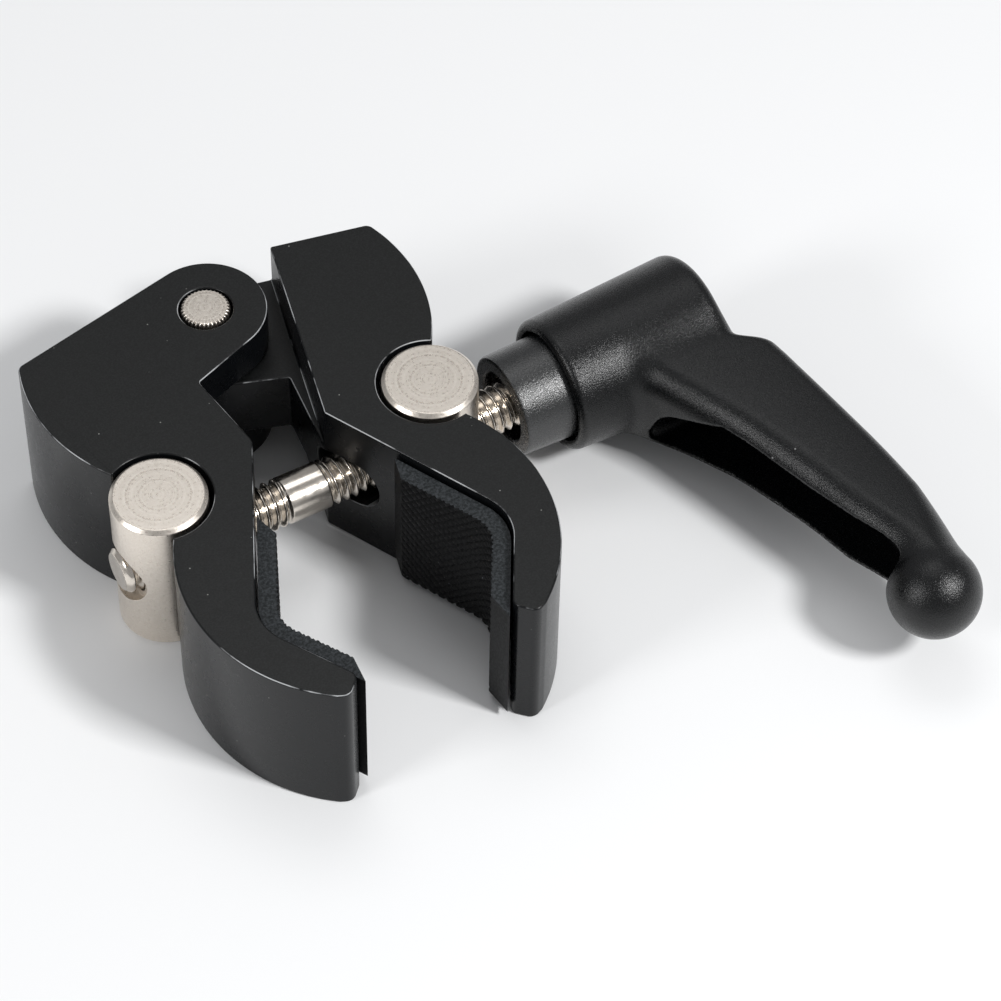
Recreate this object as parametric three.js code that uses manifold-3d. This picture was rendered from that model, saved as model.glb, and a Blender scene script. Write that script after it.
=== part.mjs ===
// Super clamp: two crab-shaped jaws hinged on a pin, drawn together by a stud with
// opposite-hand threads in two turning barrels, and turned by an adjustable lever handle.
// Millimetres. +X runs along the stud towards the lever, +Y towards the hinge pin, +Z up.

import * as THREE from 'three';
import { mergeVertices } from 'three/addons/utils/BufferGeometryUtils.js';
import Module from 'manifold-3d';

const wasm = await Module();
wasm.setup();

// ---------------------------------------------------------------- driving dimensions

const GAP = 0.3;                    // clearance between pieces that touch
const JAW_HEIGHT = 22.5;            // thickness of both jaws along Z
const MID_Z = JAW_HEIGHT / 2;       // height of the stud's axis

const BARREL_SPAN = 19.3;           // stud barrels sit at x = -span and +span
const BARREL_R = 6.25;
const BARREL_PROUD = 0.4;           // how far a barrel stands above the jaw
const BARREL_SINK = 0.1;            // and how far its lower end sits inside
const POCKET_R = 6.9;

const HINGE_Y = 25;                 // hinge pin, square to the stud from the middle
const PIN_R = 3.25;
const KNUCKLE_R = 8;                // round end of both jaws about the pin
const TONGUE_Z = [6.35, 16.15];     // the right jaw's tongue
const SLOT_Z = [6.05, 16.45];       // the slot for it in the left jaw
const FACE_LOW = [4.85, 0.9];       // flat face that clears the knuckle of the other jaw
const FACE_HIGH = [13.43, 35];

const FLAT_TILT = 12;               // slope of the flat end of each jaw, degrees
const FLAT_LENGTH = 24.4;           // from the knuckle to the outer corner
const UPPER_ARC = { x: 3, y: 19.4, r: 24.0 };
const LOWER_ARC = { x: 0.5, y: -18.8, r: 23.5 };
const VEE_RADIUS = 7;
const TIP_OUTER = [12.9, -38.4];
const TIP_INNER = [10.65, -36.1];
const VEE = [18.0, -23.7];          // the bend of the gripping face
const THROAT = [4.9, 2.4];
const HINGE_CORNER = [6.4, 14.2];

const PAD_THICKNESS = 2.4;
const PAD_START = 11.4;             // along the gripping face from the throat corner
const PAD_BEVEL_START = 2.7;
const PAD_BEVEL_END = 3.2;
const PAD_OVERHANG = 0.8;           // past the inner corner of the tip
const PAD_MARGIN = 1.3;             // from the pad's edge to the jaw's top or bottom

const STUD_R = 3.175;               // 1/4 inch thread, over its crests
const STUD_TIP_X = -25.8;
const STUD_SHANK = [-2.2, 3.2];     // plain stretch between the two threads
const STUD_SLOT_Z = 3.8;            // half height of the stud's slot in a jaw
const BORE_R = STUD_R + GAP;
const BARREL_RECESS_R = 4.3;
const BARREL_RECESS_DEPTH = 1.9;

const SOCKET_AT = 18.4;             // threaded sockets along each flat end
const SOCKET_DEPTH = 9.5;
const SOCKET_R = { left: 4.76, right: 3.18 };   // 3/8 inch and 1/4 inch threads

const COLLAR = { x0: 30.0, x1: 41.6, r0: 6.95, r1: 7.3 };
const COLLAR_RECESS = { r: 4.7, depth: 2.4 };
const STUD_END_X = 39.4;
const SPLINE = { x0: 41.6, x1: 45.2, r: 5.85, tooth: 0.4, count: 24 };
const HUB = { x0: 37, x1: 59.8, r0: 9.1, r1: 10.2 };
const HUB_MOUTH_R = 7.7;
const WEB = [45.5, 47.3];           // the lever's inner shoulder under the spring
const WEB_HOLE_R = 2.6;
const CHAMBER_R = 5.5;
const SPRING = { x0: 47.6, x1: 54.3, r: 3.7, wire: 0.8, turns: 3.5 };
const WASHER = { x0: 54.6, x1: 55.4, r: 5.1, hole: 2.3 };
const SCREW = { tip: 40.6, seat: 55.7, head: 58.6, r: 2, headR: 3.5, hexR: 1.75, hexDepth: 2 };
const BALL = { x: 62.5, y: -53.9, r: 6.1 };

// the lever's arm, station by station outwards from the hub: y, near x, far x, half height
const ARM = [
  [-1, 43.5, 60.5, 8.0],
  [-8, 45.4, 63.9, 7.2],
  [-14, 48.6, 65.3, 6.4],
  [-22, 52.4, 66.2, 5.7],
  [-33, 55.9, 67.2, 5.2],
  [-44, 58.6, 67.9, 4.9],
  [-52, 59.6, 67.6, 4.5],
];
const CHANNEL = { from: -13, to: -46.5, wall: 1.7, floor: 3.2 };

const FRAME_ORIGIN = [20.802, -13.504];   // middle of the whole clamp's footprint

// ---------------------------------------------------------------- solids and booleans

function toSolid(geometry) {
  const bare = geometry.index ? geometry.toNonIndexed() : geometry.clone();
  bare.deleteAttribute('normal');
  bare.deleteAttribute('uv');
  const merged = mergeVertices(bare, 1e-4);
  const mesh = new wasm.Mesh({
    numProp: 3,
    vertProperties: new Float32Array(merged.attributes.position.array),
    triVerts: new Uint32Array(merged.index.array),
  });
  return new wasm.Manifold(mesh);
}

function toGeometry(solid) {
  const mesh = solid.getMesh();
  const geometry = new THREE.BufferGeometry();
  geometry.setAttribute('position', new THREE.BufferAttribute(mesh.vertProperties, 3));
  geometry.setIndex(new THREE.BufferAttribute(mesh.triVerts, 1));
  geometry.computeVertexNormals();
  return geometry;
}

function cut(body, ...tools) {
  let result = body;
  for (const tool of tools) result = result.subtract(tool);
  return result;
}

function join(...bodies) {
  return bodies.reduce((a, b) => a.add(b));
}

function prism(points, z0, z1) {
  const shape = new THREE.Shape(points.map(([x, y]) => new THREE.Vector2(x, y)));
  const geometry = new THREE.ExtrudeGeometry(shape, { depth: z1 - z0, bevelEnabled: false });
  geometry.translate(0, 0, z0);
  return toSolid(geometry);
}

// a solid turned about the line through (y, z) that runs along X; profile is [x, radius] pairs
function turnedAlongX(profile, segments = 40) {
  const points = profile.map(([x, r]) => new THREE.Vector2(r, x));
  const geometry = new THREE.LatheGeometry(points, segments);
  geometry.rotateZ(-Math.PI / 2);
  geometry.translate(0, 0, MID_Z);
  return toSolid(geometry);
}

function rodAlongX(x0, x1, radius, segments = 32) {
  return turnedAlongX([[x0, 0], [x0, radius], [x1, radius], [x1, 0]], segments);
}

function rodAlongZ(x, y, z0, z1, radius, segments = 40) {
  const geometry = new THREE.CylinderGeometry(radius, radius, z1 - z0, segments);
  geometry.rotateX(Math.PI / 2);
  geometry.translate(x, y, (z0 + z1) / 2);
  return toSolid(geometry);
}

// ---------------------------------------------------------------- outlines

const radians = (degrees) => degrees * Math.PI / 180;

function arcPoints(centre, radius, startDegrees, endDegrees, steps) {
  const points = [];
  for (let i = 0; i <= steps; i += 1) {
    const a = radians(startDegrees + (endDegrees - startDegrees) * i / steps);
    points.push([centre[0] + radius * Math.cos(a), centre[1] + radius * Math.sin(a)]);
  }
  return points;
}

// rounds the corner at b between a and c
function fillet(a, b, c, radius, steps = 5) {
  const unit = (p, q) => {
    const length = Math.hypot(q[0] - p[0], q[1] - p[1]);
    return [(q[0] - p[0]) / length, (q[1] - p[1]) / length];
  };
  const u = unit(b, a);
  const v = unit(b, c);
  const half = Math.acos(u[0] * v[0] + u[1] * v[1]) / 2;
  const reach = radius / Math.tan(half);
  const mid = unit([0, 0], [u[0] + v[0], u[1] + v[1]]);
  const centre = [b[0] + mid[0] * radius / Math.sin(half), b[1] + mid[1] * radius / Math.sin(half)];
  const start = [b[0] + u[0] * reach, b[1] + u[1] * reach];
  const end = [b[0] + v[0] * reach, b[1] + v[1] * reach];
  const a0 = Math.atan2(start[1] - centre[1], start[0] - centre[0]);
  let a1 = Math.atan2(end[1] - centre[1], end[0] - centre[0]);
  if (a1 - a0 > Math.PI) a1 -= 2 * Math.PI;
  if (a0 - a1 > Math.PI) a1 += 2 * Math.PI;
  const toDegrees = 180 / Math.PI;
  return arcPoints(centre, radius, a0 * toDegrees, a1 * toDegrees, steps);
}

const angleFrom = (centre, point) => (
  Math.atan2(point[1] - centre.y, point[0] - centre.x) * 180 / Math.PI
);

const flatDirection = [Math.cos(radians(FLAT_TILT)), -Math.sin(radians(FLAT_TILT))];
const flatNormal = [Math.sin(radians(FLAT_TILT)), Math.cos(radians(FLAT_TILT))];
const flatStart = [KNUCKLE_R * flatNormal[0], HINGE_Y + KNUCKLE_R * flatNormal[1]];

function alongFlat(distance) {
  return [flatStart[0] + flatDirection[0] * distance, flatStart[1] + flatDirection[1] * distance];
}

// where the line from the hinge corner touches the knuckle, seen from the corner's far side
function knuckleTangentAngle() {
  const dx = HINGE_CORNER[0];
  const dy = HINGE_CORNER[1] - HINGE_Y;
  const toCorner = Math.atan2(dy, dx) * 180 / Math.PI;
  const spread = Math.acos(KNUCKLE_R / Math.hypot(dx, dy)) * 180 / Math.PI;
  return toCorner - spread;
}

// outline of a right-hand jaw, anticlockwise, with its whole knuckle
function jawOutline() {
  const corner = alongFlat(FLAT_LENGTH);
  const upperStart = angleFrom(UPPER_ARC, corner) - 3.5;
  const upperCentre = [UPPER_ARC.x, UPPER_ARC.y];
  const lowerCentre = [LOWER_ARC.x, LOWER_ARC.y];
  const upperPoint = arcPoints(upperCentre, UPPER_ARC.r, upperStart, upperStart, 1)[0];
  const throatToVee = fillet(HINGE_CORNER, THROAT, VEE, 2, 4);
  const veeBend = fillet(THROAT, VEE, TIP_INNER, VEE_RADIUS, 6);
  const tipBend = fillet(VEE, TIP_INNER, TIP_OUTER, 1.3, 4);
  const lowerEnd = angleFrom(LOWER_ARC, TIP_OUTER) + 4;
  const lowerPoint = arcPoints(lowerCentre, LOWER_ARC.r, lowerEnd, lowerEnd, 1)[0];
  const tangent = knuckleTangentAngle();
  return [
    ...arcPoints([0, HINGE_Y], KNUCKLE_R, 360 + tangent, 90 - FLAT_TILT, 18),
    ...fillet(flatStart, corner, upperPoint, 1.2, 3),
    ...arcPoints(upperCentre, UPPER_ARC.r, upperStart - 2, -50, 14),
    ...arcPoints(lowerCentre, LOWER_ARC.r, 48, lowerEnd, 18),
    ...fillet(lowerPoint, TIP_OUTER, TIP_INNER, 1.3, 4),
    ...tipBend.reverse(),
    ...veeBend.reverse(),
    ...throatToVee.reverse(),
    HINGE_CORNER,
  ];
}

const mirrored = (points) => points.map(([x, y]) => [-x, y]).reverse();

// everything on the knuckle's side of the flat face
const knuckleSide = [FACE_LOW, FACE_HIGH, [-20, FACE_HIGH[1]], [-20, FACE_LOW[1]]];

// the room a tilting stud needs between the pocket and the gripping face
const studFan = [[BARREL_SPAN, 3.6], [3, 4.8], [3, -6.3], [BARREL_SPAN, -3.6]];

// the gripping face moved towards the throat by `offset`, from `start` along it to `past` its end
function gripLine(offset, start, past) {
  const run = (a, b) => {
    const length = Math.hypot(b[0] - a[0], b[1] - a[1]);
    return [(b[0] - a[0]) / length, (b[1] - a[1]) / length];
  };
  const u = run(THROAT, VEE);
  const v = run(VEE, TIP_INNER);
  const half = Math.acos(-(u[0] * v[0] + u[1] * v[1])) / 2;
  const toThroat = run([0, 0], [v[0] - u[0], v[1] - u[1]]);
  const inU = [u[1], -u[0]];
  const inV = [v[1], -v[0]];
  const bend = VEE.map((c, i) => c + toThroat[i] * offset / Math.sin(half));
  const first = THROAT.map((c, i) => c + u[i] * start + inU[i] * offset);
  const last = TIP_INNER.map((c, i) => c + v[i] * past + inV[i] * offset);
  return [first, ...fillet(first, bend, last, VEE_RADIUS - offset, 6), last];
}

function toothedOutline(offset) {
  const points = [];
  const steps = SPLINE.count * 4;
  for (let i = 0; i < steps; i += 1) {
    const a = 2 * Math.PI * i / steps;
    const r = SPLINE.r + offset + SPLINE.tooth * Math.cos(SPLINE.count * a);
    points.push([r * Math.cos(a), r * Math.sin(a)]);
  }
  return points;
}

function toothedAlongX(x0, x1, offset) {
  const shape = new THREE.Shape(toothedOutline(offset).map(([a, b]) => new THREE.Vector2(a, b)));
  const geometry = new THREE.ExtrudeGeometry(shape, { depth: x1 - x0, bevelEnabled: false });
  geometry.rotateY(Math.PI / 2);
  geometry.translate(x0, 0, MID_Z);
  return toSolid(geometry);
}

// ---------------------------------------------------------------- jaws and pads

// side is +1 for the right jaw, -1 for the left
function onSide(side, points) {
  return side > 0 ? points : mirrored(points);
}

function socketTool(side, radius) {
  const mouth = alongFlat(SOCKET_AT);
  const length = SOCKET_DEPTH + 2;
  const geometry = new THREE.CylinderGeometry(radius, radius, length, 32);
  geometry.translate(0, 2 - length / 2, 0);
  geometry.rotateZ(-side * radians(FLAT_TILT));
  geometry.translate(side * mouth[0], mouth[1], MID_Z);
  return toSolid(geometry);
}

function jawBlank(side, socketRadius) {
  const body = prism(onSide(side, jawOutline()), 0, JAW_HEIGHT);
  return cut(
    body,
    rodAlongZ(side * BARREL_SPAN, 0, -1, JAW_HEIGHT + 1, POCKET_R, 48),
    rodAlongZ(0, HINGE_Y, -1, JAW_HEIGHT + 1, PIN_R + GAP),
    prism(onSide(side, studFan), MID_Z - STUD_SLOT_Z, MID_Z + STUD_SLOT_Z),
    socketTool(side, socketRadius),
  );
}

function leftJaw() {
  const slot = prism(onSide(-1, knuckleSide), SLOT_Z[0], SLOT_Z[1]);
  return cut(jawBlank(-1, SOCKET_R.left), slot);
}

function rightJaw() {
  const below = prism(knuckleSide, -1, TONGUE_Z[0]);
  const above = prism(knuckleSide, TONGUE_Z[1], JAW_HEIGHT + 1);
  return cut(jawBlank(1, SOCKET_R.right), below, above);
}

function gripPad(side) {
  const back = gripLine(GAP, PAD_START, PAD_OVERHANG);
  const front = gripLine(GAP + PAD_THICKNESS, PAD_START + PAD_BEVEL_START,
    PAD_OVERHANG - PAD_BEVEL_END);
  return prism(onSide(side, [...back.reverse(), ...front]), PAD_MARGIN, JAW_HEIGHT - PAD_MARGIN);
}

// ---------------------------------------------------------------- pin, barrels and stud

function hingePin() {
  return rodAlongZ(0, HINGE_Y, GAP, JAW_HEIGHT - 0.1, PIN_R);
}

function barrel(side) {
  const x = side * BARREL_SPAN;
  const body = rodAlongZ(x, 0, BARREL_SINK, JAW_HEIGHT + BARREL_PROUD, BARREL_R, 48);
  const recess = BARREL_R - BARREL_RECESS_DEPTH;
  return cut(
    body,
    rodAlongX(x - BARREL_R - 1, x + BARREL_R + 1, BORE_R),
    rodAlongX(x - BARREL_R - 1, x - recess, BARREL_RECESS_R),
    rodAlongX(x + recess, x + BARREL_R + 1, BARREL_RECESS_R),
  );
}

function clampStud() {
  const chamfer = 0.7;
  const neck = STUD_R - 0.1;
  return turnedAlongX([
    [STUD_TIP_X, 0],
    [STUD_TIP_X, STUD_R - chamfer],
    [STUD_TIP_X + chamfer, STUD_R],
    [STUD_SHANK[0], STUD_R],
    [STUD_SHANK[0], neck],
    [STUD_SHANK[1], neck],
    [STUD_SHANK[1], STUD_R],
    [STUD_END_X, STUD_R],
    [STUD_END_X, 0],
  ]);
}

// ---------------------------------------------------------------- the adjustable lever

function hubInsert() {
  const collar = turnedAlongX([
    [COLLAR.x0, 0],
    [COLLAR.x0, COLLAR.r0 - 0.4],
    [COLLAR.x0 + 0.4, COLLAR.r0],
    [COLLAR.x1, COLLAR.r1],
    [COLLAR.x1, 0],
  ], 48);
  const spline = toothedAlongX(SPLINE.x0 - 0.5, SPLINE.x1, 0);
  return cut(
    join(collar, spline),
    rodAlongX(COLLAR.x0 - 1, COLLAR.x0 + COLLAR_RECESS.depth, COLLAR_RECESS.r),
    rodAlongX(COLLAR.x0 - 1, STUD_END_X + GAP, BORE_R),
    rodAlongX(SCREW.tip - GAP, SPLINE.x1 + 1, SCREW.r + GAP),
  );
}

// the arm's section at y, taken between the two nearest stations
function armAt(y) {
  const i = ARM.findIndex((station) => station[0] <= y);
  const a = ARM[Math.max(i - 1, 0)];
  const b = ARM[i];
  const t = a === b ? 0 : (y - a[0]) / (b[0] - a[0]);
  return { near: a[1] + (b[1] - a[1]) * t, far: a[2] + (b[2] - a[2]) * t,
    half: a[3] + (b[3] - a[3]) * t };
}

// a closed body through sections that all have the same number of points
function loft(sections) {
  const count = sections[0].length;
  const positions = sections.flat(2);
  const faces = [];
  for (let s = 0; s + 1 < sections.length; s += 1) {
    for (let i = 0; i < count; i += 1) {
      const a = s * count + i;
      const b = s * count + (i + 1) % count;
      faces.push(a, b, a + count, b, b + count, a + count);
    }
  }
  const last = (sections.length - 1) * count;
  for (let i = 1; i + 1 < count; i += 1) {
    faces.push(0, i + 1, i);
    faces.push(last, last + i, last + i + 1);
  }
  const geometry = new THREE.BufferGeometry();
  geometry.setAttribute('position', new THREE.Float32BufferAttribute(positions, 3));
  geometry.setIndex(faces);
  return toSolid(geometry);
}

// a rounded rectangle in the plane of constant y; the corner radius is a share of the half height
function armSection(y, near, far, half, corner) {
  const radius = corner * half;
  const centres = [[far - radius, half - radius, 0], [near + radius, half - radius, 90],
    [near + radius, radius - half, 180], [far - radius, radius - half, 270]];
  return centres.flatMap(([x, z, start]) => (
    arcPoints([x, z], radius, start, start + 90, 3).map(([px, pz]) => [px, y, MID_Z + pz])
  ));
}

function lever() {
  const bevel = 0.6;
  const hub = turnedAlongX([
    [HUB.x0, 0],
    [HUB.x0, HUB.r0 - bevel],
    [HUB.x0 + bevel, HUB.r0],
    [HUB.x1 - bevel, HUB.r1],
    [HUB.x1, HUB.r1 - bevel],
    [HUB.x1, 0],
  ], 56);
  const arm = loft(ARM.map(([y, near, far, half]) => armSection(y, near, far, half, 0.45)));
  const ball = new THREE.SphereGeometry(BALL.r, 32, 20);
  ball.translate(BALL.x, BALL.y, MID_Z);
  const channelStations = ARM.map((station) => station[0])
    .filter((y) => y < CHANNEL.from && y > CHANNEL.to);
  const channel = loft([CHANNEL.from, ...channelStations, CHANNEL.to].map((y) => {
    const section = armAt(y);
    return armSection(y, section.near - 4, section.far - CHANNEL.floor,
      section.half - CHANNEL.wall, 0.25);
  }));
  return cut(
    join(hub, arm, toSolid(ball)),
    rodAlongX(HUB.x0 - 1, SPLINE.x0 + 0.15, HUB_MOUTH_R, 48),
    toothedAlongX(SPLINE.x0, WEB[0], GAP),
    rodAlongX(WEB[0] - 0.1, WEB[1] + 0.1, WEB_HOLE_R),
    rodAlongX(WEB[1], HUB.x1 + 6, CHAMBER_R, 40),
    channel,
  );
}

function springCoil() {
  const margin = SPRING.wire / 2;
  const turns = SPRING.turns;
  class Helix extends THREE.Curve {
    getPoint(t, target = new THREE.Vector3()) {
      const a = 2 * Math.PI * turns * t;
      const x = SPRING.x0 + margin + (SPRING.x1 - SPRING.x0 - 2 * margin) * t;
      return target.set(x, SPRING.r * Math.cos(a), MID_Z + SPRING.r * Math.sin(a));
    }
  }
  const wire = new THREE.Shape();
  wire.absarc(0, 0, SPRING.wire / 2, 0, 2 * Math.PI, false);
  return new THREE.ExtrudeGeometry(wire, {
    steps: Math.round(turns * 16), curveSegments: 4, extrudePath: new Helix(), bevelEnabled: false,
  });
}

function springWasher() {
  return cut(
    rodAlongX(WASHER.x0, WASHER.x1, WASHER.r, 40),
    rodAlongX(WASHER.x0 - 1, WASHER.x1 + 1, WASHER.hole),
  );
}

function retainingScrew() {
  const body = turnedAlongX([
    [SCREW.tip, 0],
    [SCREW.tip, SCREW.r - 0.4],
    [SCREW.tip + 0.4, SCREW.r],
    [SCREW.seat, SCREW.r],
    [SCREW.seat, SCREW.headR],
    [SCREW.head - 0.3, SCREW.headR],
    [SCREW.head, SCREW.headR - 0.3],
    [SCREW.head, 0],
  ]);
  return cut(body, rodAlongX(SCREW.head - SCREW.hexDepth, SCREW.head + 1, SCREW.hexR, 6));
}

// ---------------------------------------------------------------- assembly

const finishes = {
  jaw: { color: 0x2a2c2e, roughness: 0.42, metalness: 0.35 },
  rubber: { color: 0x3a3f47, roughness: 0.9, metalness: 0 },
  nickel: { color: 0xd9d0c6, roughness: 0.3, metalness: 0.95 },
  chrome: { color: 0xe0dbd4, roughness: 0.18, metalness: 1 },
  plastic: { color: 0x1f2123, roughness: 0.55, metalness: 0 },
  blackSteel: { color: 0x232527, roughness: 0.5, metalness: 0.5 },
  spring: { color: 0xa9adb2, roughness: 0.3, metalness: 0.9 },
};

const clamp = new THREE.Group();

function place(name, shape, finish) {
  const geometry = shape.isBufferGeometry ? shape : toGeometry(shape);
  const mesh = new THREE.Mesh(geometry, new THREE.MeshStandardMaterial(finishes[finish]));
  mesh.name = name;
  clamp.add(mesh);
}

place('left_jaw', leftJaw(), 'jaw');
place('left_jaw_pad', gripPad(-1), 'rubber');
place('hinge_pin', hingePin(), 'nickel');
place('right_jaw', rightJaw(), 'jaw');
place('right_jaw_pad', gripPad(1), 'rubber');
place('left_barrel', barrel(-1), 'nickel');
place('right_barrel', barrel(1), 'nickel');
place('clamp_stud', clampStud(), 'chrome');
place('hub_insert', hubInsert(), 'blackSteel');
place('retaining_screw', retainingScrew(), 'spring');
place('spring_washer', springWasher(), 'spring');
place('release_spring', springCoil(), 'spring');
place('lever', lever(), 'plastic');

clamp.position.set(-FRAME_ORIGIN[0], -FRAME_ORIGIN[1], 0);

export default clamp;
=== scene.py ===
"""Looks of the super clamp. Every piece is modelled in millimetres in the clamp's own frame, whose origin
lies midway between the two stud barrels on the floor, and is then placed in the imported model's frame."""

import math

import bmesh
import bpy
import numpy as np
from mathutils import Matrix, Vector

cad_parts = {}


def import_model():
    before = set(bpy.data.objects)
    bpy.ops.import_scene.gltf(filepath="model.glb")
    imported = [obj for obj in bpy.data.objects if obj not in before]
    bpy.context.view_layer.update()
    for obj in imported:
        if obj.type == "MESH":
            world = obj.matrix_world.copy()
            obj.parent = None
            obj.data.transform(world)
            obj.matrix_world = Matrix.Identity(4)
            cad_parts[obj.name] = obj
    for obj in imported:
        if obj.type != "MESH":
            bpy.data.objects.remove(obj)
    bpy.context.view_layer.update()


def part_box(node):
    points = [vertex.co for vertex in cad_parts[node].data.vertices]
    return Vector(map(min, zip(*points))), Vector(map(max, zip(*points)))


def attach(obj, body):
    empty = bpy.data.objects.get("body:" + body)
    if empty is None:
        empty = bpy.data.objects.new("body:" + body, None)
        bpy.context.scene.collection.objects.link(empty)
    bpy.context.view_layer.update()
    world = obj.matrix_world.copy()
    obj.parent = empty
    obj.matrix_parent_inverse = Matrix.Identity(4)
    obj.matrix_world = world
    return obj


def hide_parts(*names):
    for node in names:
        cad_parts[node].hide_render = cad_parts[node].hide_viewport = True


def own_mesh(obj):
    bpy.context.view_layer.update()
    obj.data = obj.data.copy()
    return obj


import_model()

# ---------------------------------------------------------------- driving dimensions, in millimetres

MM = 0.001


def middle(node):
    """Middle of a CAD node's box, in metres."""
    low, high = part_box(node)
    return (low + high) / 2


def extent(node, axis):
    """Lowest and highest place of a CAD node along an axis, in millimetres."""
    low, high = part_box(node)
    return low[axis] / MM, high[axis] / MM


# these three in metres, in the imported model's frame
LEFT_AXIS = middle("left_barrel")
RIGHT_AXIS = middle("right_barrel")
ORIGIN = Vector(((LEFT_AXIS.x + RIGHT_AXIS.x) / 2, LEFT_AXIS.y, 0))

SPAN = (RIGHT_AXIS.x - LEFT_AXIS.x) / 2 / MM
JAW_TOP = extent("left_jaw", 2)[1]
MID_Z = JAW_TOP / 2
BARREL_Z = extent("left_barrel", 2)
BARREL_R = (extent("left_barrel", 0)[1] - extent("left_barrel", 0)[0]) / 2
HINGE_Y = (middle("hinge_pin").y - ORIGIN.y) / MM
PIN_R = (extent("hinge_pin", 0)[1] - extent("hinge_pin", 0)[0]) / 2

GAP = 0.3               # between pieces that move on each other
PAST = 1                # how far a cutter reaches past what it cuts

# the right jaw, seen from above with the hinge up; the left jaw is its mirror image; angles in degrees
POCKET_R = 6.9
KNUCKLE_R = 8
TONGUE_Z = (6.35, 16.15)
SLOT_Z = (6.05, 16.45)
FACE_LOW = (4.85, 0.9)          # ends of the face from which the tongue or the ears reach out
FACE_HIGH = (13.43, 35)
KNUCKLE_PAST_X = -20            # beyond the far side of the knuckle
FLAT_TILT = 12
FLAT_LENGTH = 24.4
UPPER_ARC = (3, 19.4, 24.0)     # x, y and radius of the outer side above the pocket
UPPER_ARC_END = -50             # inside the pocket, like the other arc's start
UPPER_ARC_TRIM = 3.5            # taken off the arc for the rounding at its outer end
UPPER_ARC_GAP = 2               # left between that rounding and the arc
LOWER_ARC = (0.5, -18.8, 23.5)  # the same below the pocket
LOWER_ARC_START = 48
LOWER_ARC_TRIM = 4
CORNER_RADIUS = 1.2
TIP_OUTER = (12.9, -38.4)
TIP_INNER = (10.65, -36.1)
TIP_RADIUS = 1.3
VEE = (18.0, -23.7)
VEE_RADIUS = 7
THROAT = (4.9, 2.4)
THROAT_RADIUS = 2
HINGE_CORNER = (6.4, 14.2)
JAW_BEVEL = 0.28
SOCKET_AT = 18.4
SOCKET_DEPTH = 9.5
SOCKET_PAST = 2
SOCKET_THREAD = 0.4                                 # depth of the thread, as a share of its pitch
SOCKETS = {-1: (4.76, 1.5875), 1: (3.18, 1.27)}     # radius and pitch of the left and right sockets
COUNTERSINK = ((-0.9, -0.8), (0.6, 0.7))            # place along the socket, and radius beyond its own

PAD_THICKNESS = 2.4
PAD_START = 11.4            # along the gripping face, from the throat
PAD_BEVEL_START = 2.7       # how much shorter the front is than the back, at each end
PAD_BEVEL_END = 3.2
PAD_OVERHANG = 0.8          # past the jaw's tip
PAD_MARGIN = 1.3            # from the jaw's upper and lower face
KNURL_PITCH = 1.35
KNURL_DEPTH = 0.26
KNURL_HALF_WIDTH = 0.22     # of a groove, as a share of the pitch

PIN_PROUD = 0.3             # above the jaws
PIN_KNURLED = 3             # length of the knurl from the jaws' faces inwards
PIN_RIDGE = 0.2
RIDGE_COUNT = 36            # round the pin, and round the screw's head

BARREL_CHAMFERS = (0.45, 0.5)   # at the foot and at the head
BARREL_BEVEL = 0.1
BARREL_RECESS_R = 4.3
BARREL_RECESS_DEPTH = 1.9

STUD_R = 3.175
STUD_PITCH = 1.27
STUD_TIP_X = -25.8
STUD_SHANK = (-2.2, 3.2)
STUD_END_X = 39.4
STUD_CHAMFER = 0.7
STUD_SLOT_Z = 3.8           # half height of its opening in a jaw
STUD_MOUTH_FLAT = 0.1       # half of the least flat between its round ends
STUD_MOUTHS = (             # that opening at the barrel and at the inner wall: x, lowest y, highest y
    (SPAN, -3.6, 3.6),
    (3, -6.3, 4.8),
)
BORE_R = STUD_R + GAP
THREAD_DEPTH = 0.62
THREAD_STEPS = 12           # a pitch
THREAD_RUN_OUT = 0.7        # beside the shank
THREAD_TIP_START = 0.5
THREAD_TIP_RUN = 1.2
FLANK_END = 0.8             # a thread's flank, in half pitches from the middle of the groove
FLANK_RUN = 0.68

COLLAR_X = (30.0, 41.6)
COLLAR_R = (6.95, 7.3)
COLLAR_RECESS = (4.7, 2.4)  # radius and depth
SPLINE_X = (41.6, 45.2)
SPLINE_R = 5.85
SPLINE_TOOTH = 0.4
SPLINE_COUNT = 24

SPRING_X = (47.6, 54.3)
SPRING_R = 3.7
SPRING_WIRE = 0.8
SPRING_TURNS = 3.5
WASHER_X = (54.6, 55.4)
WASHER_R = (2.3, 5.1)
WASHER_EDGE = 0.12
SCREW_TIP_X = 40.6
SCREW_SEAT_X = 55.7
SCREW_HEAD_X = 58.6
SCREW_R = 2
SCREW_HEAD_R = 3.5
SCREW_HEX_R = 1.75
SCREW_HEX_DEPTH = 2
SCREW_RIDGE = 0.14

HUB_X = (37, 60)
HUB_R = (9.1, 10.2)
HUB_RIMS = (0.9, 1.9)       # rounding beside the collar and at the outer end
HUB_MOUTH_R = 7.7
MOUTH_OVERLAP = 0.15        # of the mouth and the spline
WEB_X = (45.5, 47.3)
WEB_HOLE_R = 2.6
CHAMBER_R = 5.5
HOLLOW_EDGE = 0.3
LEVER_STEP = 0.32           # of the grid that the lever is meshed on
LEVER_MARGIN = 1            # from the lever to the edges of that grid
LEVER_FAR_X = 69.5          # where the grid ends
BALL = (62.3, -52.8, 6.05)  # x, y and radius

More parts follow.
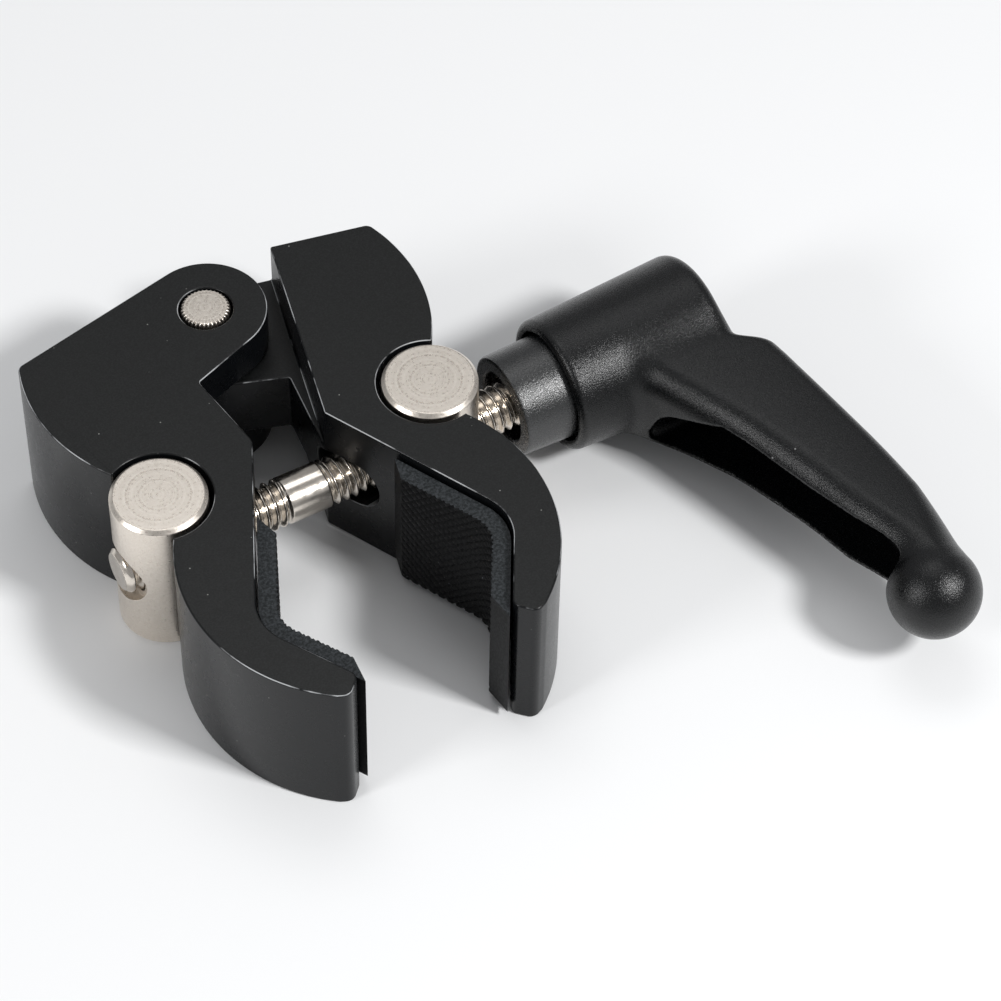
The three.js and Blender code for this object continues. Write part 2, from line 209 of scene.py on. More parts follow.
# the lever's arm, station by station outwards from the hub: y, near x, far x, half height
ARM = (
    (-1, 43.5, 58.6, 8.2),
    (-8.4, 45.6, 60.0, 7.3),
    (-11.2, 47.0, 64.2, 6.9),
    (-14, 48.6, 64.9, 6.5),
    (-22, 52.4, 66.3, 5.9),
    (-33, 55.9, 67.8, 5.5),
    (-44, 58.6, 68.3, 5.6),
    (-52, 59.8, 68.1, 5.7),
)
STATION_STEP = 0.25
STATION_RANGE = (-70, 16)
ARM_ROOT_Y = -0.5
SOFT_ARM = 2.5              # how far the corners at the stations are rounded off
SOFT_FAR = 3.5              # on the far side, out along the arm
SOFT_SHOULDER = 0.9         # on the far side, beside the hub
SHOULDER_Y = -20
SHOULDER_RUN = 4
CROWN = 0.35                # how much thinner the arm is at its sides than in its middle
UNDER_CORNER = 1.6          # roundings of the arm's edges
UPPER_CORNER = 2.9
UPPER_CORNER_CHANGE = 0.8
BALL_CORNER = 5.2
BALL_CORNER_Y = -40
BALL_CORNER_RUN = 10
HUB_FILLET = 2.0
BALL_FILLET = (0.3, 1.9)    # at the ball's middle, and what is added towards the arm
BALL_FILLET_RUN = 5

CHANNEL_Y = (-9.4, -48.8)
CHANNEL_ROOF = 2.7          # thickness left above the channel
CHANNEL_TAPER = 5.0         # what the roof gains towards the hub
TAPER_RUN = 10.0
ROOF_THINNING = 0.8         # what it loses towards the ball
THINNING_Y = -33
THINNING_RUN = 11
CHANNEL_SILL = 0.85         # thickness left below the channel
CHANNEL_FLOOR = 3.2         # and between it and the far side
CHANNEL_CORNER = 1.0
CHANNEL_RIM = 0.45
CHANNEL_END_ROUNDS = (1.8, 2.4)     # beside the hub, and beside the ball
HUB_END_SLANT = 0.9                 # towards the near side
HUB_END_LEAN = 0.35                 # upwards, from LEAN_FROM_Z below the stud's axis
LEAN_FROM_Z = 4

# ---------------------------------------------------------------- meshes


def mesh_object(name, points, faces):
    """An object of these points and faces, with every face turned outwards."""
    mesh = bpy.data.meshes.new(name)
    mesh.from_pydata([tuple(p) for p in points], [], [tuple(f) for f in faces])
    work = bmesh.new()
    work.from_mesh(mesh)
    bmesh.ops.recalc_face_normals(work, faces=work.faces)
    work.to_mesh(mesh)
    work.free()
    made = bpy.data.objects.new(name, mesh)
    bpy.context.scene.collection.objects.link(made)
    return made


def baked(piece):
    """Turns the piece's modifiers into its mesh."""
    graph = bpy.context.evaluated_depsgraph_get()
    mesh = bpy.data.meshes.new_from_object(piece.evaluated_get(graph))
    piece.modifiers.clear()
    old = piece.data
    piece.data = mesh
    bpy.data.meshes.remove(old)
    return piece


def carved(piece, *tools):
    """Cuts the tools out of the piece."""
    for tool in tools:
        cut = piece.modifiers.new("cut", "BOOLEAN")
        cut.operation = "DIFFERENCE"
        cut.solver = "EXACT"
        cut.object = tool
    baked(piece)
    for tool in tools:
        bpy.data.objects.remove(tool)
    return piece


def welded(piece, distance=0.012):
    """Joins points that lie closer together than the distance."""
    work = bmesh.new()
    work.from_mesh(piece.data)
    bmesh.ops.remove_doubles(work, verts=work.verts, dist=distance)
    bmesh.ops.dissolve_degenerate(work, dist=distance, edges=work.edges)
    work.to_mesh(piece.data)
    work.free()
    return piece


def bevelled(piece, width, segments=3, angle=30):
    """Rounds every edge sharper than the angle."""
    welded(piece)
    bevel = piece.modifiers.new("bevel", "BEVEL")
    bevel.width = width
    bevel.segments = segments
    bevel.limit_method = "ANGLE"
    bevel.angle_limit = math.radians(angle)
    bevel.use_clamp_overlap = False
    bevel.miter_outer = "MITER_ARC"
    return baked(piece)


def shaded(piece, angle=38):
    """Smooth shading, broken only at edges sharper than the angle."""
    piece.data.polygons.foreach_set("use_smooth", [True] * len(piece.data.polygons))
    piece.data.set_sharp_from_angle(angle=math.radians(angle))
    weighted = piece.modifiers.new("weighted", "WEIGHTED_NORMAL")
    weighted.keep_sharp = True
    weighted.weight = 60
    return baked(piece)


def at(x, y, z):
    """A point of the clamp's own frame, in metres."""
    return ORIGIN + Vector((x, y, z)) * MM


def settled(piece, material, body, stands_for, centre=(0, 0, 0)):
    """Scales a piece from millimetres, puts its own origin at centre, and hands it to its CAD body."""
    points = np.empty(len(piece.data.vertices) * 3)
    piece.data.vertices.foreach_get("co", points)
    points = (points.reshape(-1, 3) - np.array(centre)) * MM
    piece.data.vertices.foreach_set("co", points.ravel())
    piece.data.update()
    piece.location = ORIGIN + Vector(centre) * MM
    piece.data.materials.clear()
    piece.data.materials.append(material)
    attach(piece, body)
    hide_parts(stands_for)
    return piece


def lofted(name, points):
    """A solid between two outlines, given as one list of points, with as many points in each outline."""
    count = len(points) // 2
    sides = [(i, (i + 1) % count, (i + 1) % count + count, i + count) for i in range(count)]
    return mesh_object(name, points, [range(count), range(count, 2 * count), *sides])


def prism(name, outline, z0, z1):
    """A solid with upright walls."""
    return lofted(name, [(x, y, z) for z in (z0, z1) for x, y in outline])


def skin(rows, count, closed=False):
    """Faces between rings of points, count points in each. Unless the rows close on themselves, the first
    and the last ring are filled."""
    faces = []
    for row in range(rows if closed else rows - 1):
        a = row * count
        b = (row + 1) % rows * count
        faces += [(a + i, a + (i + 1) % count, b + (i + 1) % count, b + i) for i in range(count)]
    if not closed:
        faces += [range(count), range((rows - 1) * count, rows * count)]
    return faces


def spun(name, profile, segments, axis="X", centre=(0, 0), ripple=None, closed=False):
    """Turns a profile of (place along the axis, radius) pairs about the axis. ripple(angle, place, radius)
    returns the radius that each point really has. A closed profile makes a ring without end faces."""
    places, radii = np.array(profile, float).T
    angles = np.linspace(0, 2 * math.pi, segments, endpoint=False)
    along, turn = np.meshgrid(places, angles, indexing="ij")
    reach = np.repeat(radii[:, None], segments, axis=1)
    if ripple:
        reach = ripple(turn, along, reach)
    if axis == "X":
        grid = np.stack([along, centre[0] + reach * np.cos(turn), centre[1] + reach * np.sin(turn)], -1)
    else:
        grid = np.stack([centre[0] + reach * np.cos(turn), centre[1] + reach * np.sin(turn), along], -1)
    return mesh_object(name, grid.reshape(-1, 3), skin(len(places), segments, closed))


def rod(name, x0, x1, radius, segments):
    """A plain cylinder along the stud's axis."""
    return spun(name, [(x0, radius), (x1, radius)], segments, centre=(0, MID_Z))


def upright(name, x, y, z0, z1, radius, segments):
    """A plain upright cylinder."""
    return spun(name, [(z0, radius), (z1, radius)], segments, axis="Z", centre=(x, y))


# ---------------------------------------------------------------- outlines


def arc(centre, radius, start, end, steps):
    """Points of an arc between two angles in degrees."""
    angles = np.radians(np.linspace(start, end, steps + 1))
    return [(centre[0] + radius * math.cos(a), centre[1] + radius * math.sin(a)) for a in angles]


def fillet(a, b, c, radius, steps):
    """Rounds the corner at b between a and c."""
    a, b, c = Vector(a), Vector(b), Vector(c)
    u = (a - b).normalized()
    v = (c - b).normalized()
    half = math.acos(max(-1, min(1, u.dot(v)))) / 2
    centre = b + (u + v).normalized() * (radius / math.sin(half))
    start = b + u * (radius / math.tan(half)) - centre
    end = b + v * (radius / math.tan(half)) - centre
    first = math.degrees(math.atan2(start.y, start.x))
    last = math.degrees(math.atan2(end.y, end.x))
    last -= round((last - first) / 360) * 360
    return arc(centre, radius, first, last, steps)


def bearing(centre, point):
    """Direction from an arc's centre to a point, in degrees."""
    return math.degrees(math.atan2(point[1] - centre[1], point[0] - centre[0]))


def along_flat(distance):
    """A point on the flat end of the right jaw, this far from where it leaves the knuckle."""
    tilt = math.radians(FLAT_TILT)
    start = (KNUCKLE_R * math.sin(tilt), HINGE_Y + KNUCKLE_R * math.cos(tilt))
    return (start[0] + math.cos(tilt) * distance, start[1] - math.sin(tilt) * distance)


def jaw_outline():
    """The right jaw's outline with its whole knuckle, anticlockwise."""
    corner = along_flat(FLAT_LENGTH)
    upper_start = bearing(UPPER_ARC, corner) - UPPER_ARC_TRIM
    upper_point = arc(UPPER_ARC, UPPER_ARC[2], upper_start, upper_start, 1)[0]
    lower_end = bearing(LOWER_ARC, TIP_OUTER) + LOWER_ARC_TRIM
    lower_point = arc(LOWER_ARC, LOWER_ARC[2], lower_end, lower_end, 1)[0]
    to_corner = math.degrees(math.atan2(HINGE_CORNER[1] - HINGE_Y, HINGE_CORNER[0]))
    reach = math.hypot(HINGE_CORNER[0], HINGE_CORNER[1] - HINGE_Y)
    tangent = to_corner - math.degrees(math.acos(KNUCKLE_R / reach))
    return [
        *arc((0, HINGE_Y), KNUCKLE_R, 360 + tangent, 90 - FLAT_TILT, 72),
        *fillet(along_flat(0), corner, upper_point, CORNER_RADIUS, 8),
        *arc(UPPER_ARC, UPPER_ARC[2], upper_start - UPPER_ARC_GAP, UPPER_ARC_END, 48),
        *arc(LOWER_ARC, LOWER_ARC[2], LOWER_ARC_START, lower_end, 72),
        *fillet(lower_point, TIP_OUTER, TIP_INNER, TIP_RADIUS, 10),
        *reversed(fillet(VEE, TIP_INNER, TIP_OUTER, TIP_RADIUS, 10)),
        *reversed(fillet(THROAT, VEE, TIP_INNER, VEE_RADIUS, 20)),
        *reversed(fillet(HINGE_CORNER, THROAT, VEE, THROAT_RADIUS, 10)),
        HINGE_CORNER,
    ]


def on_side(side, outline):
    """The outline as it is for the right jaw, or mirrored for the left one."""
    return list(outline) if side > 0 else [(-x, y) for x, y in reversed(outline)]


KNUCKLE_SIDE = [FACE_LOW, FACE_HIGH, (KNUCKLE_PAST_X, FACE_HIGH[1]), (KNUCKLE_PAST_X, FACE_LOW[1])]

# ---------------------------------------------------------------- threads


def sunk_thread(turn, along, pitch, hand=1):
    """How far a helical thread has sunk from its crest, from 0 to 1. The hand is 1 or, for a left-hand
    thread, -1."""
    phase = (along - hand * pitch * turn / (2 * math.pi)) / pitch
    from_groove = np.abs((phase % 1) - 0.5) * 2
    return np.clip((FLANK_END - from_groove) / FLANK_RUN, 0, 1)


# ---------------------------------------------------------------- jaws


def set_in_flat(tool, side):
    """Turns a tool made along X into a flat end, with its origin at the socket's mouth."""
    tool.rotation_euler = (0, 0, math.radians(90 - side * FLAT_TILT))
    mouth = along_flat(SOCKET_AT)
    tool.location = (side * mouth[0], mouth[1], MID_Z)
    return tool


def socket_tool(side):
    """The threaded cutter for the socket in a flat end."""
    radius, pitch = SOCKETS[side]
    steps = int((SOCKET_PAST + SOCKET_DEPTH) / pitch * 10)
    places = np.linspace(-SOCKET_DEPTH, SOCKET_PAST, steps + 1)

    def grooves(turn, along, reach):
        return reach - pitch * SOCKET_THREAD * sunk_thread(turn, along, pitch)

    return set_in_flat(spun("socket", [(x, radius) for x in places], 40, ripple=grooves), side)


def countersink(side):
    """The cutter for the chamfer round the socket's mouth."""
    radius = SOCKETS[side][0]
    return set_in_flat(spun("countersink", [(x, radius + more) for x, more in COUNTERSINK], 64), side)


def stud_opening(side, steps=12):
    """The cutter for the stud's opening, round at both ends and longer at the inner wall."""
    points = []
    for x, low, high in STUD_MOUTHS:
        radius = min(STUD_SLOT_Z, (high - low) / 2 - STUD_MOUTH_FLAT)
        for centre_y, start in ((high - radius, -90), (low + radius, 90)):
            for i in range(steps + 1):
                turn = math.radians(start + 180 * i / steps)
                y = centre_y + radius * math.cos(turn)
                points.append((side * x, y, MID_Z + STUD_SLOT_Z * math.sin(turn)))
    return lofted("fan", points)


def jaw(side, name):
    """A jaw: the left one, at side -1, has a slot between two ears and the right one has the tongue."""
    piece = prism(name, on_side(side, jaw_outline()), 0, JAW_TOP)
    tools = [
        upright("pocket", side * SPAN, 0, -PAST, JAW_TOP + PAST, POCKET_R, 128),
        upright("hole", 0, HINGE_Y, -PAST, JAW_TOP + PAST, PIN_R + GAP, 72),
        stud_opening(side),
    ]
    if side < 0:
        tools.append(prism("slot", on_side(side, KNUCKLE_SIDE), *SLOT_Z))
    else:
        tools.append(prism("below", KNUCKLE_SIDE, -PAST, TONGUE_Z[0]))
        tools.append(prism("above", KNUCKLE_SIDE, TONGUE_Z[1], JAW_TOP + PAST))
    carved(piece, *tools)
    bevelled(piece, JAW_BEVEL)
    carved(piece, countersink(side), socket_tool(side))
    return shaded(piece)


# ---------------------------------------------------------------- rubber pads


def grip_line(offset, start, past, steps):
    """Points of the gripping face moved off it by offset, from start along it to past its end, and how far
    along the line each of them lies."""
    u = (Vector(VEE) - Vector(THROAT)).normalized()
    v = (Vector(TIP_INNER) - Vector(VEE)).normalized()
    half = math.acos(-u.dot(v)) / 2
    inwards = (v - u).normalized()
    bend = Vector(VEE) + inwards * (offset / math.sin(half))
    first = Vector(THROAT) + u * start + Vector((u.y, -u.x)) * offset
    last = Vector(TIP_INNER) + v * past + Vector((v.y, -v.x)) * offset
    corners = [first, *(Vector(p) for p in fillet(first, bend, last, VEE_RADIUS - offset, 24)), last]
    places = np.array([tuple(p) for p in corners])
    lengths = np.concatenate([[0], np.cumsum(np.linalg.norm(np.diff(places, axis=0), axis=1))])
    wanted = np.linspace(0, lengths[-1], steps)
    line = np.stack([np.interp(wanted, lengths, places[:, i]) for i in (0, 1)], -1)
    return line, wanted


def knurl(along, height):
    """Depth of the crossed grooves, from 0 on a diamond to 1 in a groove."""
    u = (along + height) / KNURL_PITCH
    v = (along - height) / KNURL_PITCH
    nearest = np.minimum(np.abs(u - np.round(u)), np.abs(v - np.round(v)))
    return np.clip(1 - nearest / KNURL_HALF_WIDTH, 0, 1)


def grip_pad(side, name, steps=260, rows=110):
    """A moulded strip whose gripping side is cut into small diamonds by crossed grooves."""
    back, _ = grip_line(GAP, PAD_START, PAD_OVERHANG, steps)
    front, along = grip_line(GAP + PAD_THICKNESS, PAD_START + PAD_BEVEL_START,
                             PAD_OVERHANG - PAD_BEVEL_END, steps)
    if side < 0:
        back = back * (-1, 1)
        front = front * (-1, 1)
    inwards = back - front
    inwards /= np.linalg.norm(inwards, axis=1)[:, None]
    heights = np.linspace(PAD_MARGIN, JAW_TOP - PAD_MARGIN, rows)
    s, z = np.meshgrid(along, heights, indexing="ij")
    sunk = knurl(s, z) * KNURL_DEPTH
    ring = np.empty((steps, rows + 4, 3))
    ring[:, :rows, :2] = front[:, None, :] + inwards[:, None, :] * sunk[:, :, None]
    ring[:, :rows, 2] = z
    middle_line = (front + back) / 2
    ring[:, rows, :2] = middle_line
    ring[:, rows + 1, :2] = back
    ring[:, rows + 2, :2] = back
    ring[:, rows + 3, :2] = middle_line
    ring[:, rows:rows + 2, 2] = heights[-1]
    ring[:, rows + 2:, 2] = heights[0]
    piece = mesh_object(name, ring.reshape(-1, 3), skin(steps, rows + 4))
    return shaded(piece, 34)


# ---------------------------------------------------------------- pin, barrels and stud


def ridges(turn, depth):
    """How far the surface of a knurled round is sunk at an angle."""
    return depth * (0.5 - 0.5 * np.cos(RIDGE_COUNT * turn))


def hinge_pin(name):
    """A pin whose ends are knurled where they are pressed in."""
    top = JAW_TOP + PIN_PROUD
    profile = [(GAP, 0.05), (GAP, PIN_R - 0.5), (GAP + 0.5, PIN_R), (top - 0.55, PIN_R),
               (top - 0.2, PIN_R - 0.1), (top, PIN_R - 0.38), (top, 0.05)]

    def knurled(turn, along, reach):
        ends = (along > JAW_TOP - PIN_KNURLED) | (along < PIN_KNURLED)
        outer = np.clip((reach - PIN_R + 0.5) / 0.3, 0, 1)
        return reach - ridges(turn, PIN_RIDGE) * ends * outer

    piece = spun(name, profile, 300, axis="Z", centre=(0, HINGE_Y), ripple=knurled)
    return shaded(piece, 40)


def barrel(side, name):
    """A turned barrel with chamfered ends and the stud's hole, which has a recess at each side."""
    x = side * SPAN
    low, high = BARREL_Z
    foot, head = BARREL_CHAMFERS
    profile = [(low, 0.02), (low, BARREL_R - foot), (low + foot, BARREL_R), (high - head, BARREL_R),
               (high, BARREL_R - head), (high, 0.02)]
    piece = spun(name, profile, 160, axis="Z", centre=(x, 0))
    recess = BARREL_R - BARREL_RECESS_DEPTH
    carved(
        piece,
        rod("bore", x - BARREL_R - PAST, x + BARREL_R + PAST, BORE_R, 72),
        rod("recess", x - BARREL_R - PAST, x - recess, BARREL_RECESS_R, 96),
        rod("recess", x + recess, x + BARREL_R + PAST, BARREL_RECESS_R, 96),
    )
    bevelled(piece, BARREL_BEVEL, 2, 40)
    return shaded(piece, 40)


def clamp_stud(name):
    """Left-hand thread towards the tip, a plain stretch, and right-hand thread towards the lever."""
    step = STUD_PITCH / THREAD_STEPS
    places = np.arange(STUD_TIP_X, STUD_END_X + step / 2, step)
    shank_middle = sum(STUD_SHANK) / 2
    shank_half = (STUD_SHANK[1] - STUD_SHANK[0]) / 2
    core = 0.04

    def thread(turn, along, reach):
        hand = np.where(along > shank_middle, 1, -1)
        fade = np.clip((np.abs(along - shank_middle) - shank_half) / THREAD_RUN_OUT, 0, 1)
        fade = fade * np.clip((along - STUD_TIP_X - THREAD_TIP_START) / THREAD_TIP_RUN, 0, 1)
        sunk = THREAD_DEPTH * fade * sunk_thread(turn, along, STUD_PITCH, hand)
        return np.maximum(reach - sunk, core)

    profile = [(STUD_TIP_X, core), (STUD_TIP_X, STUD_R - STUD_CHAMFER)]
    profile += [(x, STUD_R - max(0, STUD_CHAMFER - (x - STUD_TIP_X))) for x in places[1:]]
    piece = spun(name, profile, 64, centre=(0, MID_Z), ripple=thread)
    return shaded(piece, 60)


# ---------------------------------------------------------------- the adjustable lever


def spline_ripple(turn, along, reach):
    """Teeth round the end of the insert that enters the lever."""
    toothed = (along > SPLINE_X[0] + 0.01) & (reach > SPLINE_R - 1)
    return reach + SPLINE_TOOTH * np.cos(SPLINE_COUNT * turn) * toothed


def hub_insert(name):
    """The collar with its front recess, its bore, and the spline that the lever drops over."""
    r0, r1 = COLLAR_R
    x0, x1 = COLLAR_X
    recess_r, recess = COLLAR_RECESS
    profile = [
        (x0 + recess, BORE_R), (x0 + recess, recess_r), (x0 + 0.25, recess_r + 0.1), (x0, recess_r + 0.35),
        (x0, r0 - 0.5), (x0 + 0.15, r0 - 0.15), (x0 + 0.5, r0),
        (x1 - 0.3, r1), (x1, r1 - 0.3), (x1, SPLINE_R - 0.4),
        (x1 + 0.02, SPLINE_R), (SPLINE_X[1] - 0.3, SPLINE_R), (SPLINE_X[1], SPLINE_R - 0.3),
        (SPLINE_X[1], SCREW_R + GAP), (STUD_END_X + GAP, SCREW_R + GAP), (STUD_END_X + GAP, BORE_R),
    ]
    piece = spun(name, profile, 192, centre=(0, MID_Z), ripple=spline_ripple, closed=True)
    return shaded(piece, 35)


def retaining_screw(name):
    """A cap screw with a knurled head and a hexagon socket."""
    profile = [(SCREW_TIP_X, 0.05), (SCREW_TIP_X, SCREW_R - 0.4), (SCREW_TIP_X + 0.4, SCREW_R),
               (SCREW_SEAT_X, SCREW_R), (SCREW_SEAT_X, SCREW_HEAD_R - 0.1),
               (SCREW_SEAT_X + 0.2, SCREW_HEAD_R), (SCREW_HEAD_X - 0.5, SCREW_HEAD_R),
               (SCREW_HEAD_X - 0.1, SCREW_HEAD_R - 0.25), (SCREW_HEAD_X, SCREW_HEAD_R - 0.5),
               (SCREW_HEAD_X, 0.05)]

    def head_knurl(turn, along, reach):
        side = reach > SCREW_HEAD_R - 0.05
        return reach - ridges(turn, SCREW_RIDGE) * side

    piece = spun(name, profile, 288, centre=(0, MID_Z), ripple=head_knurl)
    carved(piece, rod("hexagon", SCREW_HEAD_X - SCREW_HEX_DEPTH, SCREW_HEAD_X + PAST, SCREW_HEX_R, 6))
    return shaded(piece, 35)


def spring_washer(name):
    """A flat washer with its edges broken."""
    x0, x1 = WASHER_X
    hole, outer = WASHER_R
    edge = WASHER_EDGE
    profile = [(x0 + edge, hole), (x0, hole + edge), (x0, outer - edge), (x0 + edge, outer),
               (x1 - edge, outer), (x1, outer - edge), (x1, hole + edge), (x1 - edge, hole)]
    return shaded(spun(name, profile, 96, centre=(0, MID_Z), closed=True), 30)


def release_spring(name):
    """A coil of round wire."""
    margin = SPRING_WIRE / 2
    steps = int(SPRING_TURNS * 48)
    around = 16
    t = np.linspace(0, 1, steps + 1)
    turn = 2 * math.pi * SPRING_TURNS * t
    along = SPRING_X[0] + margin + (SPRING_X[1] - SPRING_X[0] - 2 * margin) * t
    ring = np.linspace(0, 2 * math.pi, around, endpoint=False)
    reach = SPRING_R + margin * np.cos(ring)[None, :]
    points = np.stack([
        along[:, None] + margin * np.sin(ring)[None, :],
        reach * np.cos(turn)[:, None],
        MID_Z + reach * np.sin(turn)[:, None],
    ], -1)
    return shaded(mesh_object(name, points.reshape(-1, 3), skin(steps + 1, around)), 40)


def blend_min(a, b, reach):
    """The union of two distance fields with a fillet about as wide as reach."""
    h = np.clip(0.5 + 0.5 * (b - a) / reach, 0, 1)
    return b * (1 - h) + a * h - reach * h * (1 - h)


def blend_max(a, b, reach):
    """The intersection of two distance fields, rounded about as wide as reach."""
    return -blend_min(-a, -b, reach)


def station(y, column, softness):
    """A value of the arm's stations at y, with the corners between stations rounded off."""
    fine = np.arange(*STATION_RANGE, STATION_STEP)
    table = sorted(ARM)
    value = np.interp(fine, [row[0] for row in table], [row[column] for row in table])
    width = max(1, int(softness / STATION_STEP))
    padded = np.pad(value, width, mode="edge")
    kernel = np.ones(2 * width + 1) / (2 * width + 1)
    return np.interp(y, fine, np.convolve(padded, kernel, mode="valid"))


def rounded_box(u, v, radius):
    """Distance to a rounded rectangle, from how far a point lies outside each of its sides."""
    qu = u + radius
    qv = v + radius
    outside = np.hypot(np.maximum(qu, 0), np.maximum(qv, 0))
    return outside + np.minimum(np.maximum(qu, qv), 0) - radius


def risen(y, start, run):
    """0 up to start, 1 from start + run on, and an even rise between them."""
    return np.clip((y - start) / run, 0, 1)


def fallen(y, start, run):
    """1 up to start - run, 0 from start on, and an even fall between them."""
    return np.clip((start - y) / run, 0, 1)


def hub_field(x, rho):
    """Signed distance to the slightly tapered hub."""
    hub_middle = sum(HUB_X) / 2
    hub_half = (HUB_X[1] - HUB_X[0]) / 2
    hub_r = HUB_R[0] + (HUB_R[1] - HUB_R[0]) * (x - HUB_X[0]) / (HUB_X[1] - HUB_X[0])
    rim = np.where(x < hub_middle, *HUB_RIMS)
    return rounded_box(np.abs(x - hub_middle) - hub_half, rho - hub_r, rim)


def arm_field(x, y, z, near, far):
    """Signed distance to the arm between its near and far sides, before the channel is cut."""
    half = station(y, 3, SOFT_ARM)
    centre = (near + far) / 2
    reach = (far - near) / 2
    side = (x - centre) / reach
    crown = half - CROWN * np.clip(side, -1, 1) ** 2
    upper_corner = UPPER_CORNER - UPPER_CORNER_CHANGE * np.clip(side * 2, -1, 1)
    corner = np.where(z < 0, UNDER_CORNER, upper_corner)
    corner = corner + (BALL_CORNER - corner) * fallen(y, BALL_CORNER_Y, BALL_CORNER_RUN)
    arm = rounded_box(np.abs(x - centre) - reach, np.abs(z) - crown, corner)
    arm = np.maximum(arm, y - ARM_ROOT_Y)
    return np.maximum(arm, BALL[1] - y)


def channel_field(x, y, z, near, far):
    """Signed distance to the channel that opens along the arm's near side."""
    half = station(y, 3, SOFT_ARM)
    roof = CHANNEL_ROOF + CHANNEL_TAPER * np.clip((y - CHANNEL_Y[0]) / TAPER_RUN + 1, 0, 1)
    roof = roof - ROOF_THINNING * fallen(y, THINNING_Y, THINNING_RUN)
    middle_z = (CHANNEL_SILL - roof) / 2
    opening = half - (CHANNEL_SILL + roof) / 2
    channel = rounded_box(x - far + CHANNEL_FLOOR, np.abs(z - middle_z) - opening, CHANNEL_CORNER)
    slant = HUB_END_SLANT * np.maximum(near + 1 - x, 0)
    lean = HUB_END_LEAN * np.maximum(z + LEAN_FROM_Z, 0)
    channel = blend_max(channel, y - CHANNEL_Y[0] + slant + lean, CHANNEL_END_ROUNDS[0])
    return blend_max(channel, CHANNEL_Y[1] - y, CHANNEL_END_ROUNDS[1])


def lever_field(x, y, z):
    """Signed distance to the lever, below zero inside it. z is measured from the stud's axis."""
    rho = np.hypot(y, z)
    near = station(y, 1, SOFT_ARM)
    shoulder = risen(y, SHOULDER_Y, SHOULDER_RUN)
    far = station(y, 2, SOFT_FAR)
    far = far + shoulder * (station(y, 2, SOFT_SHOULDER) - far)

    ball = np.sqrt((x - BALL[0]) ** 2 + (y - BALL[1]) ** 2 + z ** 2) - BALL[2]
    body = blend_min(hub_field(x, rho), arm_field(x, y, z, near, far), HUB_FILLET)
    ball_fillet = BALL_FILLET[0] + BALL_FILLET[1] * np.clip((y - BALL[1] - 1) / BALL_FILLET_RUN, 0, 1)
    body = blend_min(body, ball, ball_fillet)
    body = blend_max(body, -channel_field(x, y, z, near, far), CHANNEL_RIM)

    mouth = np.maximum(rho - HUB_MOUTH_R, x - SPLINE_X[0] - MOUTH_OVERLAP)
    teeth = SPLINE_R + GAP + SPLINE_TOOTH * np.cos(SPLINE_COUNT * np.arctan2(z, y))
    spline = np.maximum(rho - teeth, x - WEB_X[0])
    web_hole = rho - WEB_HOLE_R
    chamber = np.maximum(rho - CHAMBER_R, WEB_X[1] - x)
    for hollow in (mouth, spline, chamber):
        body = blend_max(body, -hollow, HOLLOW_EDGE)
    return np.maximum(body, -web_hole)


def surface_of(field, low, high, step):
    """Points and four-cornered faces of the surface where the field is zero. Each cell of the grid that the
    surface passes through gets one point, at the mean of where it crosses the cell's edges, and each edge
    of the grid that it crosses gets one face, between the four cells round that edge."""
    axes = [np.arange(a, b + step, step) for a, b in zip(low, high)]
    value = field(*np.meshgrid(*axes, indexing="ij"))
    inside = value < 0
    shape = tuple(n - 1 for n in value.shape)
    total = np.zeros(shape + (3,))
    hits = np.zeros(shape)
    for axis in range(3):
        others = [a for a in range(3) if a != axis]
        for first in (0, 1):
            for second in (0, 1):
                start = [0, 0, 0]
                start[others[0]] = first
                start[others[1]] = second
                here = tuple(slice(start[a], start[a] + shape[a]) for a in range(3))
                start[axis] = 1
                there = tuple(slice(start[a], start[a] + shape[a]) for a in range(3))
                a, b = value[here], value[there]
                crossing = inside[here] != inside[there]
                share = np.where(crossing, a / np.where(crossing, a - b, 1), 0)
                offset = np.zeros(3)
                offset[others[0]] = first
                offset[others[1]] = second
                total += crossing[..., None] * offset
                total[..., axis] += crossing * share
                hits += crossing
    active = hits > 0
    number = np.full(shape, -1)
    number[active] = np.arange(active.sum())
    cell = np.argwhere(active)
    points = (cell + total[active] / hits[active][:, None]) * step + np.array(low)
    faces = []
    for axis in range(3):
        others = [a for a in range(3) if a != axis]
        here = [slice(1, shape[a]) for a in range(3)]
        there = [slice(1, shape[a]) for a in range(3)]
        here[axis] = slice(0, shape[axis])
        there[axis] = slice(1, shape[axis] + 1)
        edges = np.argwhere(inside[tuple(here)] != inside[tuple(there)])
        base = edges + np.array([0 if a == axis else 1 for a in range(3)])
        corners = []
        for first, second in ((0, 0), (1, 0), (1, 1), (0, 1)):
            beside = base.copy()
            beside[:, others[0]] -= first
            beside[:, others[1]] -= second
            corners.append(number[beside[:, 0], beside[:, 1], beside[:, 2]])
        faces.append(np.stack(corners, -1))
    return points, np.concatenate(faces)


def drawn_to(field, points, step):
    """Moves the points, by less than half a step at a time, onto the surface where the field is zero."""
    reach = 0.02
    least_slope = 0.25      # squared; a flatter field would throw a point too far
    shortest_move = 1e-9    # only to divide by
    longest_move = step * 0.4
    for _ in range(3):
        value = field(*points.T)
        slope = np.stack([
            (field(*(points + offset).T) - field(*(points - offset).T)) / (2 * reach)
            for offset in np.eye(3) * reach
        ], -1)
        size = np.maximum((slope ** 2).sum(1), least_slope)
        move = slope * (value / size)[:, None]
        length = np.maximum(np.linalg.norm(move, axis=1), shortest_move)
        move *= np.minimum(1, longest_move / length)[:, None]
        points = points - move
    return points


